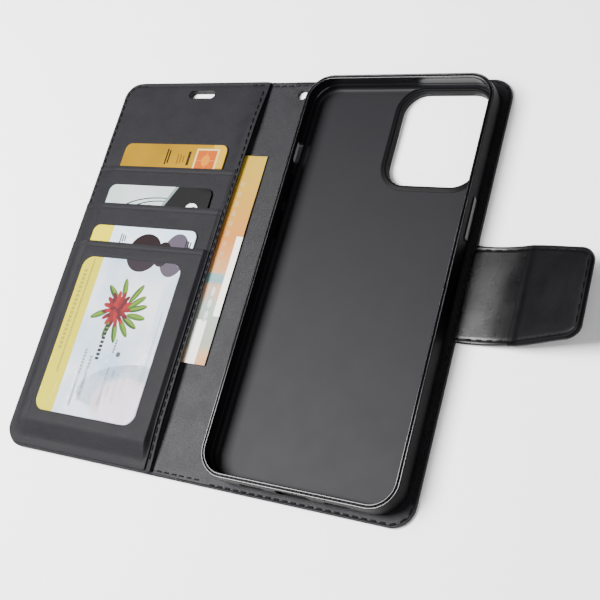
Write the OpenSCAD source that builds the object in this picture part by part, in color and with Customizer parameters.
// Phone wallet case, lying open and flat: a back cover that carries the moulded phone
// shell, a spine with two fold lines, a front cover with card pockets, and a strap.
// X runs from the front cover to the strap, Y towards the top of the phone, Z up.
// The origin is under the middle of the shell, on the face that the case rests on.

/* [Phone shell] */
// Outer width of the shell across its rim
shell_w = 79.4; // [76:0.2:82]
// Outer length of the shell along its rim
shell_l = 164.5; // [150:0.5:168]
// Height of the rim above the resting face
shell_top = 11.6; // [10.6:0.1:13]
// Outer corner radius of the shell
shell_r = 11; // [9:0.5:13]
// Thickness of the shell's side walls
wall_t = 1.5; // [1.2:0.1:2]
// Thickness of the shell's floor
shell_floor_t = 1.5; // [1:0.1:2]
// How far the rim's lip reaches in over the phone
lip_in = 0.6; // [0.3:0.1:1]

/* [Covers] */
// Length of the covers and the spine
cover_l = 170; // [168:0.5:180]
// Width of the back cover, from its fold line to the strap side
back_w = 82.7; // [82.3:0.1:90]
// Width of the spine between its two fold lines
spine_w = 23; // [20:0.5:28]
// Width of the front cover
front_w = 76.9; // [75:0.1:82]
// Radius of the covers' outer corners
cover_r = 8.5; // [7:0.5:12]
// Thickness of the outer skin
skin_t = 0.9; // [0.7:0.1:1.1]
// Thickness of the front cover's board
front_board_t = 1.2; // [1:0.1:2]

/* [Camera opening] */
// Width of the camera opening
camera_w = 36.4; // [34:0.2:38]
// Length of the camera opening
camera_l = 40.2; // [36:0.2:42]
// Corner radius of the camera opening
camera_r = 9; // [6:0.5:11]

/* [Cards and pockets] */
// Width of a card
card_w = 54; // [50:0.1:55]
// Length of a card
card_l = 85.6; // [80:0.1:86]
// Thickness of a card
card_t = 0.76; // [0.5:0.02:0.9]
// Distance from one pocket's edge to the next
pocket_step = 18.4; // [14:0.2:20]
// Width of the identity window
window_w = 51.5; // [44:0.5:52]
// Length of the identity window
window_l = 67.6; // [60:0.2:70]

/* [Strap] */
// Width of the strap's neck
strap_w = 36.5; // [30:0.5:40]
// Length of the strap's neck, measured flat
neck_l = 21.1; // [19:0.1:24]
// Length of the strap's tab
tab_l = 24.4; // [20:0.2:28]
// Angle of the tab above the horizontal at rest
tab_angle = 20; // [17:1:24]

/* [Hidden] */
$fn = 64;
eps = 0.01;

// Leather layers: both fold lines lie at the height of the spine's inner face
fold_z = 1.8;
back_board_t = 0.4;
back_lining_z = skin_t + back_board_t;
glue_t = 0.2;
shell_z = fold_z + glue_t;
shell_floor_z = shell_z + shell_floor_t;

// The fold lines and the covers' edges
fold_gap = 0.7;
fold_back_x = -shell_w / 2 - fold_gap;
back_x1 = fold_back_x + back_w;
fold_front_x = fold_back_x - spine_w;
front_x0 = fold_front_x - front_w;
half_l = cover_l / 2;
turn_t = 0.8;

// Front cover layers
front_lining_z = skin_t + front_board_t;
front_lining_t = 0.4;
money_z = front_lining_z + front_lining_t;
money_gap = 0.4;
panel_z = money_z + money_gap;
panel_t = 0.5;
panel_top = panel_z + panel_t;
panel_inset = 1;
panel_x1 = fold_front_x - 1.3;
hinge_strip_w = 2.8;
seam_margin = 5;

// Stitches
stitch_pitch = 3.3;
stitch_l = 2.3;
stitch_w = 0.6;
stitch_h = 0.15;
front_seam = 2.3;
back_seam = 1.2;

// Cards lie in the middle of their pockets, each with a little air under and over it
air = 0.05;
leaf_t = 0.4;
card_x = front_x0 + 39.1;
card_r = 3.2;
card_proud = [11.3, 9, 7.6];
pocket_x0 = front_x0 + 3.9;
pocket_x1 = panel_x1 - 1.7;
pocket_margin = 4.4;
pocket_shoulder = card_w / 2 + 1.3;
pocket_y0 = -half_l + front_seam + stitch_w;
pocket_floor_y = pocket_y0 + 5;
floor_y = [for (n = [0:2]) pocket_floor_y - n * leaf_t];
upper_edge_y = 42.2;
slot_y = [for (n = [0:2]) upper_edge_y - n * pocket_step];
side_z = [for (n = [0:2]) panel_top + n * leaf_t];
first_card_z = panel_top + stitch_h + air;
card_z = [for (n = [0:2]) first_card_z + n * (card_t + leaf_t + 2 * air)];
middle_z = [for (n = [0:2]) card_z[n] + card_t + air];
window_x = front_x0 + 38.4;
window_y = -35.6;
window_r = 5;
film_t = 0.25;

// Listening slot in the front cover, over the phone's earpiece
ear_x = front_x0 + 43;
ear_y = 78.4;
ear_l = 13.6;
ear_w = 3.8;

// Lanyard hole in the spine
lanyard_x = fold_back_x - 7.2;
lanyard_y = 78.7;
lanyard_r = 2.25;

// Banknote in the money pocket, standing out over the spine
note_w = 66;
note_l = 90;
note_t = 0.15;
note_x1 = fold_front_x + 8.6;
note_y = 4.6;

// Strap and its magnet. The neck rises towards the tab along a power curve
strap_y = -0.8;
strap_skin_t = 0.9;
strap_t = 2 * strap_skin_t;
neck_x0 = back_x1 + 0.5;
neck_rise = 4.6;
neck_power = 2.2;
neck_steps = 14;
tab_x0 = neck_x0 + neck_l;
tab_z0 = neck_rise + strap_t;
tab_end_w = 31;
tab_r = 5;
tab_core_t = 0.8;
tab_t = tab_core_t + 2 * strap_skin_t;
magnet_l = 20;
magnet_w = 9;
tongue_l = 18;
strap_seam = 1.6;

// Button pads stand in windows of the shell's walls
button_gap = 0.25;
button_h = 3.4;
button_z = 6.9;
button_out = 0.5;
power_y = 25;
power_l = 17;
volume_l = 12;
volume_y = [34, 18.5];
mute_y = 49.5;
mute_l = 9.5;
mute_h = 3.6;

// Openings in the shell's bottom wall
port_w = 13.4;
port_h = 6;
port_r = 1.6;
port_z = 7.2;
sound_l = 10;
sound_h = 2.6;
sound_x = 17;

camera_x1 = shell_w / 2 - wall_t - 2;
camera_y1 = shell_l / 2 - wall_t - 2;
camera_x = camera_x1 - camera_w / 2;
camera_y = camera_y1 - camera_l / 2;
ring_w = 1.4;
ring_h = 0.4;

leather = [0.2, 0.2, 0.215];
tpu = [0.13, 0.13, 0.14];
thread = [0.1, 0.1, 0.11];
steel = [0.7, 0.7, 0.72];

// ---- Shapes used by many pieces ----

// A rectangle from corner to corner whose left and right corners have their own radii
module outline(x0, x1, y0, y1, r_left, r_right) {
    translate([x0 + r_left, y0]) square([x1 - x0 - r_left - r_right, y1 - y0]);
    if (r_left > 0) {
        translate([x0, y0 + r_left]) square([r_left + eps, y1 - y0 - 2 * r_left]);
        for (y = [y0 + r_left, y1 - r_left]) translate([x0 + r_left, y]) circle(r_left);
    }
    if (r_right > 0) {
        translate([x1 - r_right - eps, y0 + r_right]) square([r_right + eps, y1 - y0 - 2 * r_right]);
        for (y = [y0 + r_right, y1 - r_right]) translate([x1 - r_right, y]) circle(r_right);
    }
}

module slab(z, t) {
    translate([0, 0, z]) linear_extrude(t) children();
}

module centred(x, y, w, l, r) {
    outline(x - w / 2, x + w / 2, y - l / 2, y + l / 2, r, r);
}

// A slot with round ends, along X
module slot(x, y, l, w) {
    translate([x - (l - w) / 2, y - w / 2]) square([l - w, w]);
    for (side = [-1, 1]) translate([x + side * (l - w) / 2, y]) circle(w / 2);
}

module stitch(x, y, z, angle) {
    translate([x, y, z + stitch_h / 2]) rotate(angle) cube([stitch_l, stitch_w, stitch_h], center = true);
}

// Stitches at an even pitch from one point to another
module stitch_row(x0, y0, x1, y1, z) {
    long = norm([x1 - x0, y1 - y0]);
    count = floor(long / stitch_pitch);
    for (n = [0:count - 1])
        let (s = (n + 0.5) / count)
            stitch(x0 + s * (x1 - x0), y0 + s * (y1 - y0), z, atan2(y1 - y0, x1 - x0));
}

// Stitches round a corner
module stitch_corner(x, y, r, start, z) {
    count = floor(r * PI / 2 / stitch_pitch);
    for (n = [0:count - 1])
        let (a = start + 90 * (n + 0.5) / count)
            stitch(x + r * cos(a), y + r * sin(a), z, a + 90);
}

module camera_opening(grow = 0) {
    centred(camera_x, camera_y, camera_w + 2 * grow, camera_l + 2 * grow, camera_r + grow);
}

// ---- Back cover ----

module back_outline(inset) {
    outline(fold_back_x, back_x1 - inset, -half_l + inset, half_l - inset, 0, cover_r - inset);
}

module back_outer_skin() {
    color(leather) difference() {
        slab(0, fold_z) back_outline(0);
        slab(skin_t, fold_z) translate([-eps, 0]) back_outline(turn_t);
        slab(-1, 4) camera_opening();
    }
}

module back_board() {
    color("dimgray") difference() {
        slab(skin_t, back_board_t) back_outline(turn_t);
        slab(0, 4) camera_opening();
        slab(0, 4) tongue_outline();
    }
}

module back_lining() {
    color(leather) difference() {
        slab(back_lining_z, fold_z - back_lining_z) back_outline(turn_t);
        slab(0, 4) camera_opening();
    }
}

module shell_glue_sheet() {
    color("silver") difference() {
        slab(fold_z, glue_t) centred(0, 0, shell_w - 8, shell_l - 8, shell_r - 4);
        slab(0, 4) camera_opening(1);
    }
}

module shell_outline(inset) {
    centred(0, 0, shell_w - 2 * inset, shell_l - 2 * inset, shell_r - inset);
}

// The window that a button pad stands in, through a side wall
module wall_window(side, y, l, h, z) {
    translate([side * (shell_w / 2 - wall_t / 2), y, z]) cube([2 * wall_t, l, h], center = true);
}

module bottom_window(x, l, h, r) {
    translate([0, -shell_l / 2 + 2 * wall_t, 0]) rotate([90, 0, 0]) linear_extrude(4 * wall_t)
        centred(x, port_z, l, h, r);
}

module phone_shell() {
    lip_h = 1.1;
    foot_inset = 0.8;
    color(tpu) {
        difference() {
            union() {
                slab(shell_z, foot_inset) shell_outline(foot_inset);
                slab(shell_z + foot_inset, shell_top - shell_z - foot_inset) shell_outline(0);
            }
            slab(shell_floor_z, shell_top - lip_h - shell_floor_z) shell_outline(wall_t);
            slab(shell_floor_z, shell_top) shell_outline(wall_t + lip_in);
            slab(0, shell_top) camera_opening();
            wall_window(1, power_y, power_l + 2 * button_gap, button_h + 2 * button_gap, button_z);
            for (y = volume_y)
                wall_window(-1, y, volume_l + 2 * button_gap, button_h + 2 * button_gap, button_z);
            wall_window(-1, mute_y, mute_l, mute_h, button_z);
            bottom_window(0, port_w, port_h, port_r);
            for (side = [-1, 1]) bottom_window(side * sound_x, sound_l, sound_h, sound_h / 2 - eps);
        }
        difference() {
            slab(shell_floor_z, ring_h) intersection() {
                camera_opening(ring_w);
                shell_outline(wall_t);
            }
            slab(0, shell_top) camera_opening();
        }
    }
}

// A pad with a soft outer face, standing a little proud of the wall
module button(side, y, l) {
    crown = 0.25;
    x = side * (shell_w / 2 - wall_t + 0.45);
    color(tpu) translate([x, y, button_z]) rotate([0, 0, side > 0 ? 0 : 180]) {
        translate([0, -l / 2, -button_h / 2]) cube([wall_t - 0.45 + button_out - crown, l, button_h]);
        translate([wall_t - 0.45 + button_out - crown, -l / 2 + 0.5, -button_h / 2 + 0.5])
            cube([crown, l - 1, button_h - 1]);
    }
}

module power_button() { button(1, power_y, power_l); }
module volume_up_button() { button(-1, volume_y[0], volume_l); }
module volume_down_button() { button(-1, volume_y[1], volume_l); }

module back_stitching() {
    edge_x = back_x1 - back_seam;
    edge_y = half_l - back_seam;
    corner = cover_r - back_seam;
    color(thread) {
        for (side = [-1, 1]) {
            stitch_row(fold_back_x + 2, side * edge_y, back_x1 - cover_r, side * edge_y, fold_z);
            stitch_row(edge_x, side * (strap_w / 2 + 2), edge_x, side * (half_l - cover_r), fold_z);
        }
        stitch_row(edge_x, -strap_w / 2, edge_x, strap_w / 2, fold_z);
        stitch_corner(back_x1 - cover_r, half_l - cover_r, corner, 0, fold_z);
        stitch_corner(back_x1 - cover_r, -half_l + cover_r, corner, 270, fold_z);
    }
}

module tongue_outline() {
    translate([back_x1 - turn_t - tongue_l, strap_y - strap_w / 2 + 1]) square([tongue_l, strap_w - 2]);
}

// The strap's hidden end, glued between the outer skin and the lining
module strap_root_tongue() {
    color(leather) slab(skin_t, back_board_t) tongue_outline();
}

// ---- Spine ----

module spine_piece(z, t, y_inset) {
    difference() {
        slab(z, t) translate([fold_front_x, -half_l + y_inset]) square([spine_w, cover_l - 2 * y_inset]);
        slab(-1, 4) translate([lanyard_x, lanyard_y]) circle(lanyard_r);
    }
}

module spine_outer_skin() {
    color(leather) {
        spine_piece(0, skin_t, 0);
        for (y = [-half_l, half_l - turn_t])
            translate([fold_front_x, y, skin_t]) cube([spine_w, turn_t, fold_z - skin_t]);
    }
}

module spine_lining() {
    color(leather) spine_piece(skin_t, fold_z - skin_t, turn_t);
}

module spine_stitching() {
    color(thread) for (side = [-1, 1])
        stitch_row(fold_front_x + 0.6, side * (half_l - 2), fold_back_x - 1.6, side * (half_l - 2), fold_z);
}

// ---- Front cover ----

module front_outline(inset, x1 = fold_front_x) {
    outline(front_x0 + inset, x1, -half_l + inset, half_l - inset, cover_r - inset, 0);
}

module ear_slot() {
    slab(-1, 8) slot(ear_x, ear_y, ear_l, ear_w);
}

module front_outer_skin() {
    color(leather) difference() {
        union() {
            slab(0, fold_z) front_outline(0);
            slab(fold_z, money_z - fold_z) front_outline(0, fold_front_x - hinge_strip_w);
        }
        slab(skin_t, money_z) translate([eps, 0]) front_outline(turn_t);
        ear_slot();
    }
}

module front_board() {
    color("dimgray") difference() {
        slab(skin_t, front_board_t) front_outline(turn_t, fold_front_x - hinge_strip_w);
        slab(skin_t - eps, front_board_t + 1) magnet_plate_outline();
        ear_slot();
    }
}

module magnet_plate_outline() {
    translate([front_x0 + 7, strap_y - magnet_l / 2]) square([magnet_w, magnet_l]);
}

module front_magnet_plate() {
    color(steel) slab(skin_t, front_board_t) magnet_plate_outline();
}

module front_lining() {
    strip_x0 = fold_front_x - hinge_strip_w;
    strip_y = half_l - turn_t;
    color(leather) difference() {
        union() {
            slab(front_lining_z, front_lining_t) front_outline(turn_t, strip_x0);
            translate([strip_x0, -strip_y, skin_t]) cube([hinge_strip_w, 2 * strip_y, fold_z - skin_t]);
            translate([strip_x0, -strip_y, skin_t]) cube([front_lining_t, 2 * strip_y, money_z - skin_t]);
        }
        ear_slot();
    }
}

// The strip between lining and panel round the money pocket, which is open along the spine
module money_pocket_welt() {
    color(leather) difference() {
        slab(money_z, money_gap) front_outline(panel_inset, panel_x1);
        translate([front_x0 + seam_margin, -half_l + seam_margin, money_z - 1])
            cube([front_w, cover_l - 3 * seam_margin, money_gap + 2]);
        ear_slot();
    }
}

// The panel that the pockets are sewn to
module card_panel() {
    color(leather) difference() {
        slab(panel_z, panel_t) front_outline(panel_inset, panel_x1);
        ear_slot();
    }
}

// Cross-section of a pocket leaf: flat seam margins, and shoulders up to the raised middle
module leaf_section(n) {
    under = [
        [pocket_x0, side_z[n]],
        [pocket_x0 + pocket_margin, side_z[n]],
        [card_x - pocket_shoulder, middle_z[n]],
        [card_x + pocket_shoulder, middle_z[n]],
        [pocket_x1 - pocket_margin, side_z[n]],
        [pocket_x1, side_z[n]]
    ];
    over = [for (i = [len(under) - 1:-1:0]) under[i] + [0, leaf_t]];
    polygon(concat(under, over));
}

// The end wall of a pocket, under the leaf's raised middle
module leaf_end_section(n) {
    polygon([
        [pocket_x0 + pocket_margin, side_z[n]],
        [card_x - pocket_shoulder, middle_z[n] + eps],
        [card_x + pocket_shoulder, middle_z[n] + eps],
        [pocket_x1 - pocket_margin, side_z[n]]
    ]);
}

// Stands a cross-section, drawn in X and Z, along Y from one place to another
module along_y(y0, y1) {
    translate([0, y1, 0]) rotate([90, 0, 0]) linear_extrude(y1 - y0) children();
}

module pocket_leaf(n) {
    along_y(floor_y[n], slot_y[n]) leaf_section(n);
    along_y(floor_y[n], floor_y[n] + leaf_t) leaf_end_section(n);
    slab(side_z[n], leaf_t) intersection() {
        translate([pocket_x0, pocket_y0]) square([pocket_x1 - pocket_x0, floor_y[n] - pocket_y0 + eps]);
        front_outline(front_seam + stitch_w, pocket_x1);
    }
}

module card_pocket_upper() { color(leather) pocket_leaf(0); }
module card_pocket_middle() { color(leather) pocket_leaf(1); }

module window_outline() {
    centred(window_x, window_y, window_w, window_l, window_r);
}

module id_window_pocket() {
    color(leather) difference() {
        pocket_leaf(2);
        slab(middle_z[2] - eps, 2) window_outline();
    }
}

module id_window_film() {
    color([0.85, 0.9, 0.95, 0.35]) slab(middle_z[2], film_t) window_outline();
}

module front_stitching() {
    edge_x = front_x0 + front_seam;
    edge_y = half_l - front_seam;
    corner = cover_r - front_seam;
    color(thread) {
        stitch_row(edge_x, -half_l + cover_r, edge_x, half_l - cover_r, panel_top);
        for (side = [-1, 1])
            stitch_row(front_x0 + cover_r, side * edge_y, panel_x1 - 1, side * edge_y, panel_top);
        stitch_corner(front_x0 + cover_r, half_l - cover_r, corner, 90, panel_top);
        stitch_corner(front_x0 + cover_r, -half_l + cover_r, corner, 180, panel_top);
    }
}

module panel_edge_stitching() {
    color(thread)
        stitch_row(panel_x1 - 0.9, -half_l + 5, panel_x1 - 0.9, half_l - 5, panel_top);
}

// ---- Cards and banknote ----

module card(n) {
    slab(card_z[n], card_t) centred(card_x, slot_y[n] + card_proud[n] - card_l / 2, card_w, card_l, card_r);
}

module upper_card() { color("gold") card(0); }
module middle_card() { color("lightgray") card(1); }
module id_card() { color("ghostwhite") card(2); }

module banknote() {
    color("khaki") translate([note_x1 - note_w, note_y - note_l / 2, money_z + (money_gap - note_t) / 2])
        cube([note_w, note_l, note_t]);
}

// ---- Strap ----

// Height of the neck's under face at a share of its length
function neck_z(s) = neck_rise * pow(s, neck_power);

// A band of the neck between two heights over its under face
module neck_band(low, high, y_inset) {
    steps = [for (n = [0:neck_steps]) n / neck_steps];
    under = [for (s = steps) [neck_x0 + s * neck_l, neck_z(s) + low]];
    over = [for (n = [neck_steps:-1:0]) let (s = steps[n]) [neck_x0 + s * neck_l, neck_z(s) + high]];
    along_y(strap_y - strap_w / 2 + y_inset, strap_y + strap_w / 2 - y_inset) polygon(concat(under, over));
}

module strap_neck_skin() { color(leather) neck_band(0, strap_skin_t, 0); }
module strap_neck_lining() { color(leather) neck_band(strap_skin_t, strap_t, 0); }

module strap_neck_stitching() {
    count = 6;
    lift = 0.13;
    color(thread) for (n = [0:count - 1]) {
        s = (n + 0.5) / count;
        slope = atan(neck_rise * neck_power * pow(s, neck_power - 1) / neck_l);
        for (side = [-1, 1])
            translate([neck_x0 + s * neck_l, strap_y + side * (strap_w / 2 - strap_seam), 0])
                translate([0, 0, neck_z(s) + strap_t + lift])
                    rotate([0, -slope, 0]) cube([stitch_l, stitch_w, stitch_h], center = true);
    }
}

// The tab is drawn flat, with its fold line on the Y axis at the height of its upper face
module tab_at_rest() {
    translate([tab_x0, strap_y, tab_z0]) rotate([0, -tab_angle, 0]) translate([0, 0, -tab_t]) children();
}

function arc(x, y, r, start, end) = [
    for (n = [0:8]) let (a = start + (end - start) * n / 8) [x + r * cos(a), y + r * sin(a)]
];

module tab_outline(inset) {
    half_root = strap_w / 2 - inset;
    half_end = tab_end_w / 2 - inset;
    r = tab_r - inset;
    x = tab_l - inset;
    polygon(concat(
        [[inset, -half_root]],
        arc(x - r, -half_end + r, r, -90, 0),
        arc(x - r, half_end - r, r, 0, 90),
        [[inset, half_root]]
    ));
}

module tab_magnet_outline() {
    translate([tab_l - 6 - magnet_w, -magnet_l / 2]) square([magnet_w, magnet_l]);
}

module strap_tab_skin() {
    color(leather) tab_at_rest() slab(0, strap_skin_t) tab_outline(0);
}

module strap_tab_core() {
    color("dimgray") tab_at_rest() difference() {
        slab(strap_skin_t, tab_core_t) tab_outline(0.6);
        slab(0, tab_t) tab_magnet_outline();
    }
}

module strap_magnet() {
    color(steel) tab_at_rest() slab(strap_skin_t, tab_core_t) tab_magnet_outline();
}

module strap_tab_lining() {
    color(leather) tab_at_rest() slab(strap_skin_t + tab_core_t, strap_skin_t) tab_outline(0);
}

module strap_tab_stitching() {
    half_root = strap_w / 2 - strap_seam;
    half_end = tab_end_w / 2 - strap_seam;
    end_x = tab_l - strap_seam;
    color(thread) tab_at_rest() {
        for (side = [-1, 1])
            stitch_row(1.2, side * half_root, tab_l - tab_r - 0.6, side * half_end, tab_t);
        stitch_row(end_x, -half_end + tab_r - 1, end_x, half_end - tab_r + 1, tab_t);
    }
}

back_outer_skin();
back_board();
back_lining();
shell_glue_sheet();
phone_shell();
power_button();
volume_up_button();
volume_down_button();
back_stitching();
strap_root_tongue();
spine_outer_skin();
spine_lining();
spine_stitching();
front_outer_skin();
front_board();
front_magnet_plate();
front_lining();
money_pocket_welt();
card_panel();
card_pocket_upper();
card_pocket_middle();
id_window_pocket();
id_window_film();
front_stitching();
panel_edge_stitching();
upper_card();
middle_card();
id_card();
banknote();
strap_neck_skin();
strap_neck_lining();
strap_neck_stitching();
strap_tab_skin();
strap_tab_core();
strap_magnet();
strap_tab_lining();
strap_tab_stitching();
